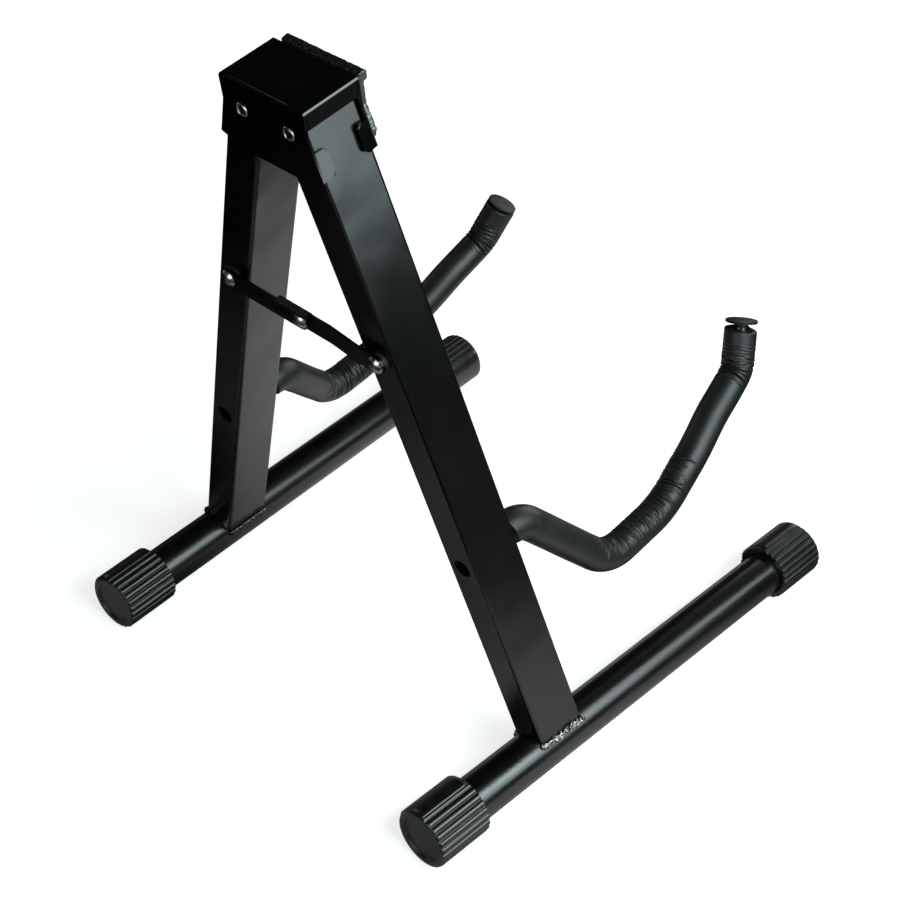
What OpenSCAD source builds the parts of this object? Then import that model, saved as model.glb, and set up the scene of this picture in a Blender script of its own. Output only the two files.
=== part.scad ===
// Folding A-frame guitar stand, standing open on its four ribbed feet.
// Millimetres. The origin is on the floor under the middle of the stand. +Z is up,
// the guitar rests at the front, towards -Y, and X = 0 is the mirror plane.

/* [Stance] */
// Head pivot to base tube axis, measured along the leg
leg_len = 375; // [330:5:420]
// Angle of each leg from the middle when the stand is open, in degrees
spread = 17.4; // [14:0.2:20]
// Backward lean of the two legs' plane, in degrees
lean = 9; // [5:0.5:13]

/* [Legs] */
// Width of the leg tube, seen from behind
leg_w = 20; // [18:0.5:24]
// Depth of the leg tube, front to back
leg_d = 30; // [26:1:36]
// Wall of the leg tube
leg_wall = 1.2; // [1:0.1:2]
// Outer corner radius of the leg tube
leg_corner = 1.9; // [1.6:0.1:3]
// Length of the leg above its head pivot
leg_top = 10; // [8:0.5:11]
// Space between the two legs at the head when folded
leg_gap = 8.8; // [8:0.2:14]

/* [Base tubes] */
// Outer diameter of the base tube
tube_d = 25.4; // [22:0.2:28]
// Wall of the base tube
tube_wall = 1.5; // [1:0.1:2]
// Leg axis to the front end of the front foot
front_reach = 218; // [180:1:240]
// Leg axis to the rear end of the rear foot
rear_reach = 99; // [80:1:130]
// Radius of the weld beads
weld_r = 2.4; // [1.8:0.1:2.6]

/* [Feet] */
// Rubber foot, across the crests of opposite ribs
foot_d = 33.5; // [32:0.5:38]
// Length of the foot
foot_len = 33.5; // [26:0.5:40]
// Thickness of the foot's end wall
foot_end = 4; // [3:0.5:6]
// Number of ribs, a multiple of four so that one lies flat on the floor
rib_count = 24; // [16:4:24]
// Height of a rib above the grooves
rib_h = 1.2; // [0.6:0.1:1.4]
// Width of a rib's flat crest
rib_crest = 2.6; // [2:0.1:3]
// Width of a rib at its foot
rib_root = 3.4; // [3.1:0.1:3.7]
// Chamfer round the closed end
foot_chamfer = 2.6; // [1.5:0.1:3.5]
// Diameter of the recessed disc in the end face
disc_d = 23.6; // [18:0.2:25]
// Depth of the recessed disc
disc_depth = 1.2; // [0.5:0.1:1.6]

/* [Head bracket] */
// Thickness of the bracket's sheet steel
sheet = 1.2; // [1:0.1:1.6]
// Outer radius of the bracket's bends
bend_r = 2; // [1.8:0.1:3]
// Play between a leg and the bracket's plates
head_gap = 0.2; // [0.1:0.05:0.4]
// Play between a folded leg and the bracket's end flange
end_gap = 0.3; // [0.2:0.1:0.8]
// Pivot to the top of the bracket
head_top = 15; // [14.4:0.1:18]
// Pivot to the bottom edge of the bracket's plates
head_bottom = 22.5; // [20:0.5:26]
// Height of the end flanges, from the top
flange_drop = 9.6; // [7:0.1:11]
// Pivot to the top of the stop tabs, along the leg
tab_start = 9; // [6:0.5:9.5]
// Pivot to the bottom of the stop tabs, along the leg
tab_end = 22.5; // [19:0.5:23]
// Width of a stop tab over the leg's outer face
tab_reach = 6.5; // [5:0.5:9]
// Corner radius of a stop tab
tab_corner = 2; // [1:0.1:2.4]
// Play between an open leg and its stop tab
tab_gap = 0.25; // [0.15:0.05:0.5]
// Angle that the front stop tabs are left open by, in degrees
tab_open = 12; // [2:1:16]

/* [Head pad] */
// Width of the pad along its top edge
pad_w = 47; // [40:0.5:50]
// Sideways offset of the pad from the middle
pad_shift = -2; // [-3:0.5:3]
// Thickness of the pad's face
pad_t = 3; // [2.4:0.1:4]
// Thickness of the rolled bead along the pad's top edge
bead_t = 5.2; // [4:0.1:6]
// Height of the bead's top above the bracket's top
bead_rise = 0.6; // [0:0.1:1]
// Pivot to the bottom edge of the pad
pad_bottom = 16.5; // [12:0.5:18]

/* [Rivets] */
// Shank of the tubular head rivets
head_rivet_d = 5.6; // [5:0.2:6.2]
// Bore of the tubular head rivets
head_rivet_bore = 4.4; // [3:0.2:4.6]
// Rolled rim of the tubular head rivets
head_rivet_rim = 7; // [6.6:0.2:9]
// Shank of the strut rivets
strut_rivet_d = 5; // [4:0.5:5.5]
// Domed head of the strut rivets
dome_d = 9; // [8:0.5:10]
// Height of the domed heads
dome_h = 2.2; // [1.6:0.1:2.6]
// Diameter of the formed tail behind a rivet's hole
tail_d = 7.5; // [7:0.1:8.5]
// Height of the formed tail behind a rivet's hole
tail_h = 1; // [0.8:0.1:1.2]
// Radial play of a piece that turns on its rivet
turn_play = 0.07; // [0.04:0.01:0.1]
// Radial play of a piece that stays still on what it sits on
seat_play = 0.04; // [0.02:0.01:0.1]

/* [Strut] */
// Head pivot to strut rivet, along the leg
strut_drop = 117; // [100:1:130]
// Width of the strut bars
bar_w = 10.5; // [10:0.5:13]
// Thickness of the strut bars
bar_t = 1.5; // [1.2:0.1:1.7]
// Thickness of the washers between the legs and the bars
washer_t = 2; // [1.9:0.1:3]
// Diameter of the washers
washer_d = 11; // [10:0.5:13]
// Play behind a washer, and between the two bars where they cross
bar_play = 0.15; // [0.1:0.05:0.2]
// Reach of the locking lip past the knee rivet
lip_reach = 14; // [11:0.5:20]
// Length of the locking lip
lip_len = 21; // [16:0.5:26]
// Play between the locking lip and the bar below it
lip_play = 0.3; // [0.3:0.05:0.5]
// Distance that the lip stands out past the bar it covers
lip_proud = 2.2; // [0.4:0.1:3.5]
// Inner radius of the bend that folds the lip over
lip_bend = 0.4; // [0.2:0.1:0.5]
// Strut rivet to the start of the bend that carries the left bar under the right one
joggle_at = 11; // [9:0.5:12]
// Length of the slope between the left bar's two levels
joggle_len = 20; // [16:1:21]

/* [Arms] */
// Head pivot to the arm's hole, along the leg
arm_drop = 242.5; // [220:0.5:260]
// Outer diameter of the arm tube
arm_d = 10; // [9:0.5:12]
// Wall of the arm tube
arm_wall = 1; // [0.8:0.1:1.5]
// Depth of the arm tube's end inside its hole in the leg's back
arm_recess = 1.5; // [0.5:0.1:3]
// Outer diameter of the foam sleeve
foam_d = 18.4; // [16:0.2:20]
// Gap between the foam sleeve and the leg's front
foam_gap = 1; // [0.5:0.1:2]
// Straight root of the arm in front of the leg
arm_root = 1.8; // [1.6:0.1:6]
// Straight run down to the valley
arm_fall = 54; // [46:1:62]
// Straight run along the bottom of the valley
arm_flat = 22; // [16:1:30]
// Straight run up to the tip's bend
arm_rise = 72; // [60:1:84]
// Straight tip
arm_tip = 20.2; // [14:0.2:28]
// Bend angle of the arm's root, in degrees
root_turn = 55; // [48:1:60]
// Bend angle of the arm's valley, in degrees
valley_turn = 54; // [48:1:60]
// Bend angle where the arm begins to rise, in degrees
rise_turn = 25; // [18:1:32]
// Bend angle of the arm's tip, in degrees
tip_turn = 38; // [30:1:44]
// Bend radius of the arm's root
root_bend = 20; // [16:1:24]
// Bend radius of the arm's valley
valley_bend = 27; // [20:1:34]
// Bend radius where the arm begins to rise
rise_bend = 58; // [40:1:80]
// Bend radius of the arm's tip
tip_bend = 14.4; // [12:0.2:20]

/* [Arm plugs] */
// Thickness of the plug's disc at its rim
plug_rim = 1.3; // [1:0.1:2]
// Rise of the plug's disc at its middle
plug_crown = 0.8; // [0.4:0.1:1.2]
// Diameter of the plug's disc
plug_d = 18; // [16:0.2:20]
// Length of the plug's stem
stem_len = 14; // [10:1:18]
// Radial play of the plug's stem in the arm tube
stem_play = 0.1; // [0.05:0.05:0.2]
// Height of the left plug's disc above the foam, pulled part of the way out
plug_lift_left = 2.4; // [0.2:0.1:6]
// Height of the right plug's disc above the foam
plug_lift_right = 0.8; // [0.2:0.1:6]

/* [Hidden] */
$fn = 64;
eps = 0.01;
// A bent bar's straights are fatter than its bends by the step, and overlap them by the lap
bend_step = 0.01;
bend_lap = 0.05;
foot_r = foot_d / 2;
tube_r = tube_d / 2;
// Each head pivot stands half a folded leg gap and half a leg from the middle
pivot_x = (leg_gap + leg_w) / 2;
pivot_z = foot_r + leg_len * cos(spread) * cos(lean);
// The base tube is square to the leg's width, so its tilt makes it level on the floor
tube_tilt = atan(tan(lean) / cos(spread));
// The level tubes toe out a little, and a foot is rolled back to stand a rib flat
toe_out = asin(sin(tube_tilt) * sin(spread));
foot_roll = asin(sin(spread) * cos(lean));
head_y = leg_len * cos(spread) * sin(lean) + (front_reach - rear_reach) / 2 * cos(toe_out);
// Bracket planes, from the legs that it holds
plate_in = leg_d / 2 + head_gap;
plate_out = plate_in + sheet;
head_half = pivot_x + leg_w / 2 + end_gap + sheet;
tab_in = leg_w / 2 + tab_gap;
tab_out = tab_in + sheet;
flange_z = head_top - flange_drop;
// A tubular rivet's rolled rim is half a ring of this radius
rim_h = (head_rivet_rim - head_rivet_bore) / 4;
rim_r = (head_rivet_rim + head_rivet_bore) / 4;
// Strut planes, counted backwards from the leg's back face
leg_back = leg_d / 2;
bar_y = leg_back + washer_t + bar_play;
under_y = bar_y - bar_t - bar_play;
knee_x = pivot_x + strut_drop * sin(spread);
knee_z = -strut_drop * cos(spread);
lip_low = bar_w / 2 + lip_play;
lip_top = lip_low + bar_t;
arm_path = [
    [arm_root, root_turn, root_bend],
    [arm_fall, -valley_turn, valley_bend],
    [arm_flat, -rise_turn, rise_bend],
    [arm_rise, -tip_turn, tip_bend],
    [arm_tip, 0, 0]
];
steel = "#17181a";
rubber = "#202123";
foam = "#2b2c2e";
zinc = "#b9bcbf";

// Placement

// The head's frame: pivots on the X axis, +Y out of the bracket's back, +Z up the legs' plane
module in_head() {
    translate([0, head_y, pivot_z]) rotate([-lean, 0, 0]) children();
}

// The right leg's frame: pivot at the origin, +X outwards, +Z up the leg
module in_leg() {
    in_head() translate([pivot_x, 0, 0]) rotate([0, -spread, 0]) children();
}

// The right base tube's frame: -Y runs forward along the tube
module in_tube() {
    in_leg() translate([0, 0, -leg_len]) rotate([tube_tilt, 0, 0]) children();
}

// The right arm's frame: the origin is on the leg's front face, +Z runs forward, +Y up the leg
module in_arm() {
    in_leg() translate([0, -leg_d / 2, -arm_drop]) rotate([90, 0, 0]) children();
}

// A right-hand piece as it is, or mirrored to the left
module sided(left) {
    mirror([left ? 1 : 0, 0, 0]) children();
}

// A point of the right leg's frame, given across and up the leg, in the head's frame
function leg_point(x, z) = [pivot_x + x * cos(spread) - z * sin(spread), x * sin(spread) + z * cos(spread)];

// Shapes

module rounded_rect(w, h, r) {
    square([w - 2 * r, h], center = true);
    square([w, h - 2 * r], center = true);
    for (x = [-1, 1], y = [-1, 1])
        translate([x * (w / 2 - r), y * (h / 2 - r)]) circle(r);
}

// A cylinder along Y, from y0 to y1
module rod_y(y0, y1, d) {
    translate([0, y0, 0]) rotate([-90, 0, 0]) cylinder(h = y1 - y0, d = d);
}

// A quarter-round corner piece to cut from a square edge at the origin
module corner_cut(r) {
    difference() {
        translate([-r, -r]) square(r + 1);
        translate([-r, -r]) circle(r);
    }
}

// Moves along a path of straights and bends, and draws the children at its end
module walk(path, i = 0) {
    if (i == len(path)) children();
    else {
        turn = path[i][1];
        radius = path[i][2];
        translate([0, -sign(turn) * radius * (1 - cos(turn)), path[i][0] + radius * sin(abs(turn))])
            rotate([turn, 0, 0]) walk(path, i + 1) children();
    }
}

// A bend from the origin's +Z heading, towards -Y where turn is above 0
module elbow(turn, radius, d) {
    rotate([0, 0, turn > 0 ? 0 : 180]) translate([0, -radius, 0]) rotate([90, 0, 90])
        rotate_extrude(angle = abs(turn)) translate([radius, 0]) circle(d = d);
}

// One round bar bent along a path, with its first and last straights longer by the two extras.
// The straights are a hair fatter than the bends and run a hair into them, so that each
// meets the next at a clean step in place of two surfaces that only touch.
module bent_bar(path, d, start_extra = 0, end_extra = 0, i = 0) {
    last = len(path) - 1;
    z0 = i == 0 ? -start_extra : -bend_lap;
    z1 = path[i][0] + (i == last ? end_extra : bend_lap);
    translate([0, 0, z0]) cylinder(h = z1 - z0, d = d + 2 * bend_step);
    if (i < last) {
        translate([0, 0, path[i][0]]) elbow(path[i][1], path[i][2], d);
        walk([path[i]]) bent_bar(path, d, start_extra, end_extra, i + 1);
    }
}

// A domed rivet head standing on z = 0
module dome(d, h) {
    ball = (d * d / 4 + h * h) / (2 * h);
    intersection() {
        translate([0, 0, h - ball]) sphere(ball);
        cylinder(h = h + 1, d = d + 1);
    }
}

// Head

// Front view of the bracket's plates: straight at the top, flared along the open legs below
module plate_outline() {
    low = leg_point(tab_out, -tab_end);
    flare_z = (pivot_x + tab_out / cos(spread) - head_half) / tan(spread);
    level_x = low[0] - (low[1] + head_bottom) / tan(spread);
    difference() {
        polygon([
            [-head_half, head_top], [head_half, head_top], [head_half, flare_z], low,
            [level_x, -head_bottom], [-level_x, -head_bottom], [-low[0], low[1]], [-head_half, flare_z]
        ]);
        for (m = [0, 1]) mirror([m, 0])
            translate([head_half, head_top]) corner_cut(bend_r);
    }
}

// Side view of a channel open at the bottom, with rounded top edges
module channel_outline(half, top, r) {
    difference() {
        translate([-half, -head_bottom - 1]) square([2 * half, top + head_bottom + 1]);
        for (m = [0, 1]) mirror([m, 0])
            translate([half, top]) corner_cut(r);
    }
}

module head_body() {
    wide = 4 * head_half;
    difference() {
        intersection() {
            rotate([90, 0, 90]) linear_extrude(wide, center = true)
                channel_outline(plate_out, head_top, bend_r);
            rotate([90, 0, 0]) linear_extrude(wide, center = true) plate_outline();
        }
        intersection() {
            rotate([90, 0, 90]) linear_extrude(wide, center = true)
                channel_outline(plate_in, head_top - sheet, bend_r - sheet);
            rotate([90, 0, 0]) linear_extrude(wide, center = true) {
                channel_outline(head_half - sheet, head_top - sheet, bend_r - sheet);
                translate([-wide / 2, -wide]) square([wide, wide + flange_z]);
            }
        }
        // Reliefs that part the end flanges from the plates
        for (x = [-1, 1], y = [-1, 1])
            translate([x * head_half, y * (plate_in - 0.25), flange_z - 1 + flange_drop / 2])
                cube([3 * sheet, 0.5, flange_drop - 2 * bend_r + 2], center = true);
    }
}

// One tab folded over the leg's outer face, in the leg's frame. It turns out about its fold by open.
module stop_tab(open) {
    height = tab_end - tab_start;
    edge = plate_in - tab_reach;
    translate([tab_in, plate_in, 0]) rotate(open) translate([0, -plate_in, 0])
        rotate([90, 0, 90]) linear_extrude(sheet)
            difference() {
                translate([edge, -tab_end]) square([tab_reach + 0.75 * sheet, height]);
                translate([edge, -tab_start]) mirror([1, 0]) corner_cut(tab_corner);
                translate([edge, -tab_end]) rotate(180) corner_cut(tab_corner);
            }
}

module head_bracket() {
    color(steel) difference() {
        union() {
            in_head() head_body();
            for (m = [0, 1], b = [0, 1])
                in_head() mirror([m, 0, 0]) mirror([0, b, 0])
                    translate([pivot_x, 0, 0]) rotate([0, -spread, 0]) stop_tab(b * tab_open);
        }
        in_head() for (x = [-1, 1]) translate([x * pivot_x, 0, 0])
            rod_y(-leg_d, leg_d, head_rivet_d + 2 * seat_play);
    }
}

module head_pad() {
    wide = 4 * head_half;
    top = head_top + bead_rise;
    side = (head_half - pad_w / 2) - seat_play;
    foot = leg_point(tab_out, -pad_bottom);
    color(foam) in_head() translate([pad_shift, 0, 0]) difference() {
        intersection() {
            rotate([90, 0, 90]) linear_extrude(wide, center = true) {
                translate([-plate_out - pad_t, -pad_bottom]) square([pad_t, pad_bottom + top - bead_t / 2]);
                translate([-plate_out - bead_t / 2, top - bead_t / 2]) rounded_rect(bead_t, bead_t, 1.6);
            }
            rotate([90, 0, 0]) linear_extrude(wide, center = true)
                polygon([
                    [-pad_w / 2, top + 1], [pad_w / 2, top + 1], [pad_w / 2, 0],
                    [foot[0] - side, foot[1]], [foot[0] - side - 2, -pad_bottom - 1],
                    [-foot[0] + side + 2, -pad_bottom - 1], [-foot[0] + side, foot[1]], [-pad_w / 2, 0]
                ]);
        }
        // Pockets over the rims of the two head rivets
        for (x = [-1, 1]) translate([x * pivot_x - pad_shift, 0, 0])
            rod_y(-plate_out - rim_h - 0.4, -plate_out + 1, head_rivet_rim + 1);
    }
}

// Tubular rivet through the bracket and one leg, with a rolled rim at each end
module head_rivet(left) {
    color(zinc) in_head() translate([left ? -pivot_x : pivot_x, 0, 0]) rotate([-90, 0, 0])
        rotate_extrude() {
            translate([head_rivet_bore / 2, -plate_out])
                square([(head_rivet_d - head_rivet_bore) / 2, 2 * plate_out]);
            for (m = [0, 1]) mirror([0, m])
                translate([rim_r, plate_out]) difference() {
                    circle(rim_h);
                    translate([-2 * rim_h, -2 * rim_h]) square([4 * rim_h, 2 * rim_h]);
                }
        }
}

// Legs and base

module leg(left) {
    color(steel) sided(left) in_leg() difference() {
        translate([0, 0, -leg_len]) linear_extrude(leg_len + leg_top)
            rounded_rect(leg_w, leg_d, leg_corner);
        translate([0, 0, -leg_len - 1]) linear_extrude(leg_len + leg_top + 2)
            rounded_rect(leg_w - 2 * leg_wall, leg_d - 2 * leg_wall, leg_corner - leg_wall);
        // Saddle that sits on the base tube
        translate([0, 0, -leg_len]) rotate([tube_tilt, 0, 0])
            rod_y(-2 * leg_d, 2 * leg_d, tube_d + 2 * seat_play);
        rod_y(-leg_d, leg_d, head_rivet_d + 2 * turn_play);
        translate([0, 0, -strut_drop]) rod_y(0, leg_d, strut_rivet_d + 2 * seat_play);
        translate([0, 0, -arm_drop]) rod_y(-leg_d, leg_d, arm_d + 2 * (bend_step + seat_play));
    }
}

module base_tube(left) {
    front = front_reach - foot_end - seat_play;
    rear = rear_reach - foot_end - seat_play;
    color(steel) sided(left) in_tube() difference() {
        rod_y(-front, rear, tube_d);
        rod_y(-front - 1, rear + 1, tube_d - 2 * tube_wall);
    }
}

// Weld beads along both faces of the leg, where they meet the base tube
module leg_weld(left) {
    beads = 9;
    pitch = leg_d / beads;
    rise = sqrt(tube_r * tube_r - leg_w * leg_w / 4) / cos(tube_tilt);
    color(steel) sided(left) in_leg() difference() {
        for (x = [-1, 1], i = [0:beads - 1]) {
            y = (i - (beads - 1) / 2) * pitch;
            translate([x * (leg_w / 2 + 0.3), y, -leg_len + rise + y * tan(tube_tilt) + 0.5])
                sphere(weld_r + 0.25 * sin(140 * i + 60 * x));
        }
        translate([0, 0, -leg_len]) linear_extrude(leg_len) rounded_rect(leg_w, leg_d, leg_corner);
        translate([0, 0, -leg_len]) rotate([tube_tilt, 0, 0]) rod_y(-2 * leg_d, 2 * leg_d, tube_d);
    }
}

// Ribbed cross-section of a foot, with a flat crest facing down
module foot_outline() {
    root_r = foot_r - rib_h;
    circle(root_r);
    for (i = [0:rib_count - 1]) rotate(i * 360 / rib_count)
        polygon([
            [root_r * cos(360 / rib_count), -rib_root / 2], [foot_r, -rib_crest / 2],
            [foot_r, rib_crest / 2], [root_r * cos(360 / rib_count), rib_root / 2]
        ]);
}

// A push-on foot: its mouth is at z = 0 and its closed end at z = foot_len
module foot() {
    difference() {
        intersection() {
            linear_extrude(foot_len) foot_outline();
            rotate_extrude() polygon([
                [0, 0], [foot_r, 0], [foot_r + rib_h, rib_h], [foot_r + rib_h, foot_len - foot_chamfer - rib_h],
                [foot_r, foot_len - foot_chamfer], [foot_r - foot_chamfer, foot_len], [0, foot_len]
            ]);
        }
        translate([0, 0, -1]) cylinder(h = foot_len - foot_end + 1, d = tube_d + 2 * seat_play);
        translate([0, 0, foot_len - disc_depth]) cylinder(h = disc_depth + 1, d = disc_d);
    }
}

module front_foot(left) {
    color(rubber) sided(left) in_tube() translate([0, foot_len - front_reach, 0])
        rotate([0, foot_roll, 0]) rotate([90, 0, 0]) foot();
}

module rear_foot(left) {
    color(rubber) sided(left) in_tube() translate([0, rear_reach - foot_len, 0])
        rotate([0, foot_roll, 0]) rotate([-90, 0, 0]) foot();
}

// Arms

module arm_tube(left) {
    inside = leg_d - arm_recess;
    color(steel) sided(left) in_arm() difference() {
        bent_bar(arm_path, arm_d, inside, 0);
        bent_bar(arm_path, arm_d - 2 * arm_wall, inside + 1, 1);
    }
}

// Foam sleeve, from in front of the leg to the arm's tip
module arm_foam(left) {
    color(foam) sided(left) in_arm() difference() {
        bent_bar(arm_path, foam_d, -foam_gap, 0);
        bent_bar(arm_path, arm_d + 2 * seat_play, 1, 1);
    }
}

// Mushroom plug pushed into the arm's end
module arm_plug(left) {
    lift = left ? plug_lift_left : plug_lift_right;
    color(rubber) sided(left) in_arm() walk(arm_path) translate([0, 0, lift]) {
        translate([0, 0, -stem_len]) cylinder(h = stem_len, d = arm_d - 2 * arm_wall - 2 * stem_play);
        cylinder(h = plug_rim, d = plug_d);
        translate([0, 0, plug_rim]) dome(plug_d, plug_crown);
    }
}

// Strut

// Outline of a bar between two rivets on the X axis, round at the leg end
module bar_outline(from_x, to_x) {
    translate([from_x, 0]) circle(d = bar_w);
    translate([to_x, 0]) circle(d = bar_w);
    translate([min(from_x, to_x), -bar_w / 2]) square([abs(to_x - from_x), bar_w]);
}

module at_knee() {
    in_head() translate([0, 0, knee_z]) children();
}

module right_strut_bar() {
    color(steel) at_knee() difference() {
        translate([0, bar_y + bar_t, 0]) rotate([90, 0, 0]) linear_extrude(bar_t) bar_outline(0, knee_x);
        rod_y(0, leg_d, strut_rivet_d + 2 * turn_play);
        translate([knee_x, 0, 0]) rod_y(0, leg_d, strut_rivet_d + 2 * seat_play);
    }
}

// Side view of the left bar: level with the right one at its leg, and under it at the knee
module joggled_side() {
    bend_x = -knee_x + joggle_at;
    knee_end = bend_x + joggle_len;
    polygon([
        [-knee_x - bar_w, bar_y], [bend_x, bar_y], [knee_end, under_y], [lip_reach, under_y],
        [lip_reach, under_y + bar_t], [knee_end, under_y + bar_t], [bend_x, bar_y + bar_t],
        [-knee_x - bar_w, bar_y + bar_t]
    ]);
}

// Outline of the left bar, with the height that its lip needs
module lipped_outline() {
    translate([-knee_x, 0]) circle(d = bar_w);
    translate([-knee_x, -bar_w / 2]) square([knee_x + lip_reach - bar_w / 2, bar_w]);
    translate([lip_reach - bar_w / 2, 0]) circle(d = bar_w);
    translate([lip_reach - lip_len, 0]) square([lip_len, lip_top]);
}

// The lip's leg over the right bar's top edge, with a fillet inside its bend
module lip_section() {
    translate([under_y, lip_low]) square([bar_y + bar_t + lip_proud - under_y, bar_t]);
    translate([under_y + bar_t, lip_low]) mirror([1, 0]) corner_cut(lip_bend);
}

// The left bar passes under the right one, and its lip lies over the right bar's top edge
module left_strut_bar() {
    lip_front = bar_y + bar_t + lip_proud;
    color(steel) at_knee() difference() {
        union() {
            intersection() {
                translate([0, 0, -bar_w]) linear_extrude(2 * bar_w) joggled_side();
                rotate([90, 0, 0]) linear_extrude(4 * leg_d, center = true) lipped_outline();
            }
            translate([lip_reach - lip_len, 0, 0]) rotate([90, 0, 90]) linear_extrude(lip_len)
                lip_section();
        }
        // Rounded outside of the lip's bend
        translate([-knee_x, under_y, lip_top]) rotate([90, 0, 90]) linear_extrude(2 * knee_x)
            mirror([1, 0]) corner_cut(lip_bend + bar_t);
        // Rounded front corners of the lip
        translate([lip_reach, lip_front, 0]) linear_extrude(2 * bar_w) corner_cut(bar_t);
        translate([lip_reach - lip_len, lip_front, 0]) linear_extrude(2 * bar_w)
            mirror([1, 0]) corner_cut(bar_t);
        rod_y(0, leg_d, strut_rivet_d + 2 * seat_play);
        translate([-knee_x, 0, 0]) rod_y(0, leg_d, strut_rivet_d + 2 * turn_play);
    }
}

module strut_washer(left) {
    color(rubber) sided(left) in_leg() translate([0, 0, -strut_drop]) difference() {
        rod_y(leg_back, leg_back + washer_t, washer_d);
        rod_y(leg_back - 1, leg_back + washer_t + 1, strut_rivet_d + 2 * seat_play);
    }
}

// The domed head of a strut rivet, standing on the back of the bars
module rivet_head() {
    translate([0, bar_y + bar_t + seat_play, 0]) rotate([-90, 0, 0]) dome(dome_d, dome_h);
}

// Rivet through the leg's back wall, the washer and the end of the left bar
module left_strut_rivet() {
    tail_y = leg_back - leg_wall;
    color(zinc) sided(true) in_leg() translate([0, 0, -strut_drop]) {
        rod_y(tail_y - tail_h, tail_y, tail_d);
        rod_y(tail_y - eps, bar_y + bar_t + seat_play + eps, strut_rivet_d);
        rivet_head();
    }
}

// The same rivet on the right, parted behind the washer: this half turns with the bar
module right_strut_rivet_head() {
    color(zinc) in_leg() translate([0, 0, -strut_drop]) {
        rod_y(bar_y, bar_y + bar_t + seat_play + eps, strut_rivet_d);
        rivet_head();
    }
}

// The half that stays with the leg and its washer
module right_strut_rivet_tail() {
    tail_y = leg_back - leg_wall;
    color(zinc) in_leg() translate([0, 0, -strut_drop]) {
        rod_y(tail_y - tail_h, tail_y, tail_d);
        rod_y(tail_y - eps, leg_back + washer_t, strut_rivet_d);
    }
}

// Rivet through both bars at the knee
module knee_rivet() {
    color(zinc) at_knee() {
        rod_y(under_y - tail_h, under_y, tail_d);
        rod_y(under_y - eps, bar_y + bar_t + seat_play + eps, strut_rivet_d);
        rivet_head();
    }
}

head_bracket();
head_pad();
head_rivet(true);  // left_head_rivet
head_rivet(false);  // right_head_rivet
leg(true);  // left_leg
leg(false);  // right_leg
base_tube(true);  // left_base_tube
base_tube(false);  // right_base_tube
leg_weld(true);  // left_leg_weld
leg_weld(false);  // right_leg_weld
front_foot(true);  // left_front_foot
rear_foot(true);  // left_rear_foot
front_foot(false);  // right_front_foot
rear_foot(false);  // right_rear_foot
arm_tube(true);  // left_arm_tube
arm_tube(false);  // right_arm_tube
arm_foam(true);  // left_arm_foam
arm_foam(false);  // right_arm_foam
arm_plug(true);  // left_arm_plug
arm_plug(false);  // right_arm_plug
left_strut_bar();
right_strut_bar();
strut_washer(true);  // left_strut_washer
strut_washer(false);  // right_strut_washer
left_strut_rivet();
right_strut_rivet_head();
right_strut_rivet_tail();
knee_rivet();
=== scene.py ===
"""Looks for the folding guitar stand, in metres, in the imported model's own frame.

The CAD's tubes, bracket, strut, rivets, washers and plugs keep their own meshes and get materials. The
foam sleeves, feet, pad and weld beads are made here on the CAD's sizes, and stand for its plain ones.
"""

import math

import bmesh
import bpy
import numpy as np
from mathutils import Matrix, Vector, noise


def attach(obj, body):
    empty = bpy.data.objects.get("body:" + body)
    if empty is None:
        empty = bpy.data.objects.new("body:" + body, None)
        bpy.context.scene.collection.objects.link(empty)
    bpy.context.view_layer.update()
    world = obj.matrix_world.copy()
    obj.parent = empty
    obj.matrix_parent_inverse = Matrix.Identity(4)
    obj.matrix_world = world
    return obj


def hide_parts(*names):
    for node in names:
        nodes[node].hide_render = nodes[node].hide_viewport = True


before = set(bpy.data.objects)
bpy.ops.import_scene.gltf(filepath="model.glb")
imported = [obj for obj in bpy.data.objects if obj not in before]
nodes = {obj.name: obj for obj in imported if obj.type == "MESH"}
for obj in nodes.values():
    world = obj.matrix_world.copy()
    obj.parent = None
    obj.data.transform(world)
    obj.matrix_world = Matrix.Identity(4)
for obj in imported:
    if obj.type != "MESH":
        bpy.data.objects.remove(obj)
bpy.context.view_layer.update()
scene = bpy.context.scene
SIDES = ("left", "right")

# Camera, fitted to the stand's outlines in the photo: metres, angles, and millimetres of lens and sensor
CAMERA_AT = Vector((-0.4885, 0.5629, 0.7329))
YAW, PITCH, ROLL = math.radians(41.31), math.radians(39.98), math.radians(1.84)
LENS, SENSOR = 69.45, 36
CLIP_NEAR, CLIP_FAR = 0.01, 50


def make_camera():
    """The photo's camera, which looks along YAW and PITCH and is turned by ROLL."""
    forward = Vector((math.cos(PITCH) * math.sin(YAW), -math.cos(PITCH) * math.cos(YAW), -math.sin(PITCH)))
    level = forward.cross(Vector((0, 0, 1))).normalized()
    upright = level.cross(forward)
    right = math.cos(ROLL) * level + math.sin(ROLL) * upright
    up = math.cos(ROLL) * upright - math.sin(ROLL) * level
    camera = bpy.data.objects.new("camera", bpy.data.cameras.new("camera"))
    scene.collection.objects.link(camera)
    camera.data.sensor_width = SENSOR
    camera.data.lens = LENS
    camera.data.clip_start = CLIP_NEAR
    camera.data.clip_end = CLIP_FAR
    turn = Matrix((right, up, -forward)).transposed().to_4x4()
    camera.matrix_world = Matrix.Translation(CAMERA_AT) @ turn
    scene.camera = camera


make_camera()

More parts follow.
